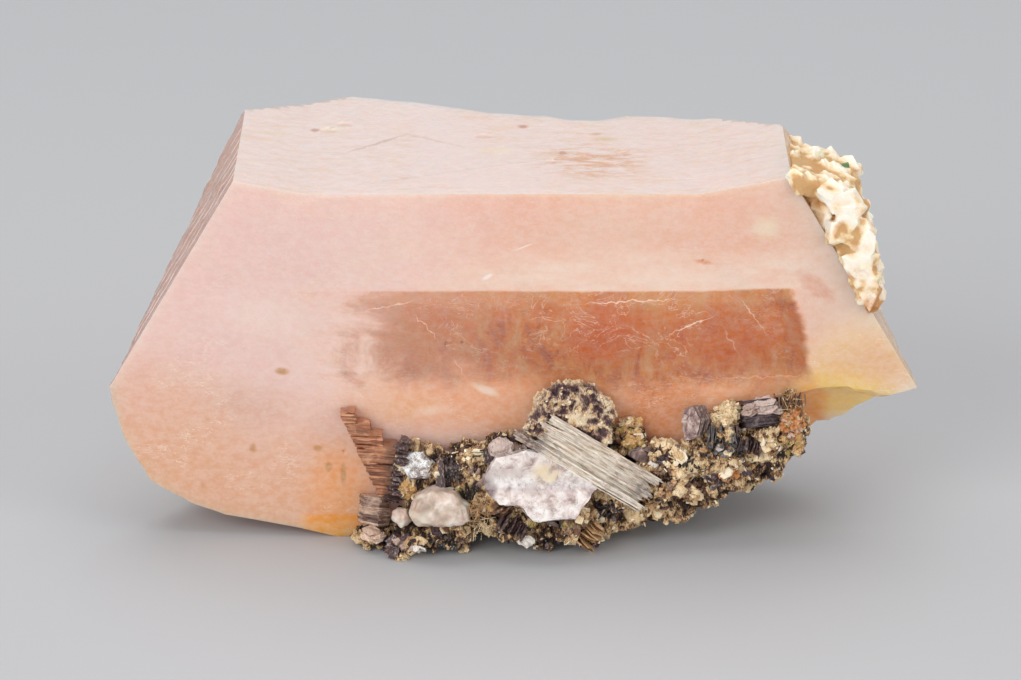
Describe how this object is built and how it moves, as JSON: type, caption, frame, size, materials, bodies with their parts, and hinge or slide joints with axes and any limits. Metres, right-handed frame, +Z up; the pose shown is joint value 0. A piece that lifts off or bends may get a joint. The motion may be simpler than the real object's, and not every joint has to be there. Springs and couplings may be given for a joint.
{
  "type": "morganite crystal specimen",
  "caption": "Tabular hexagonal morganite crystal standing on edge, with lepidolite mica books and quartz along its lower edge and an albite crust on one side face.",
  "frame": {"origin": "on the ground under the middle of the specimen's bounding box", "axes": "+X along the crystal's long side to the right, +Y from the broad front face into the specimen, +Z up"},
  "size_m": [0.1488, 0.0664, 0.0747],
  "materials": {
    "morganite": "milky peach-pink translucent crystal with a clearer orange-brown heart, satin faces",
    "albite": "white to cream, brown-stained crevices",
    "matrix": "rough brown, tan and dark purple mica grains",
    "pearl_mica": "pearly pinkish white cleavage face",
    "spotted_mica": "dark purple with cream spots",
    "layered_mica": "grey-green edges of thin leaves",
    "silver_mica": "bright silvery cleavage face",
    "purple_mica": "dark purple-brown, satin leaves",
    "ribbed_mica": "brown-pink ribbed leaf edges",
    "quartz": "translucent grey-white"
  },
  "bodies": {
    "root": {"morganite_crystal": "morganite", "albite_crust": "albite", "lepidolite_matrix": "matrix", "mica_book_pearl": "pearl_mica", "mica_book_spotted": "spotted_mica", "mica_book_layered": "layered_mica", "mica_book_silver": "silver_mica", "mica_book_nodule": "purple_mica", "mica_book_dark": "purple_mica", "mica_book_lilac": "purple_mica", "mica_book_fan": "purple_mica", "mica_book_ribbed": "ribbed_mica", "quartz_block": "quartz", "quartz_chip": "quartz"}
  },
  "joints": []
}
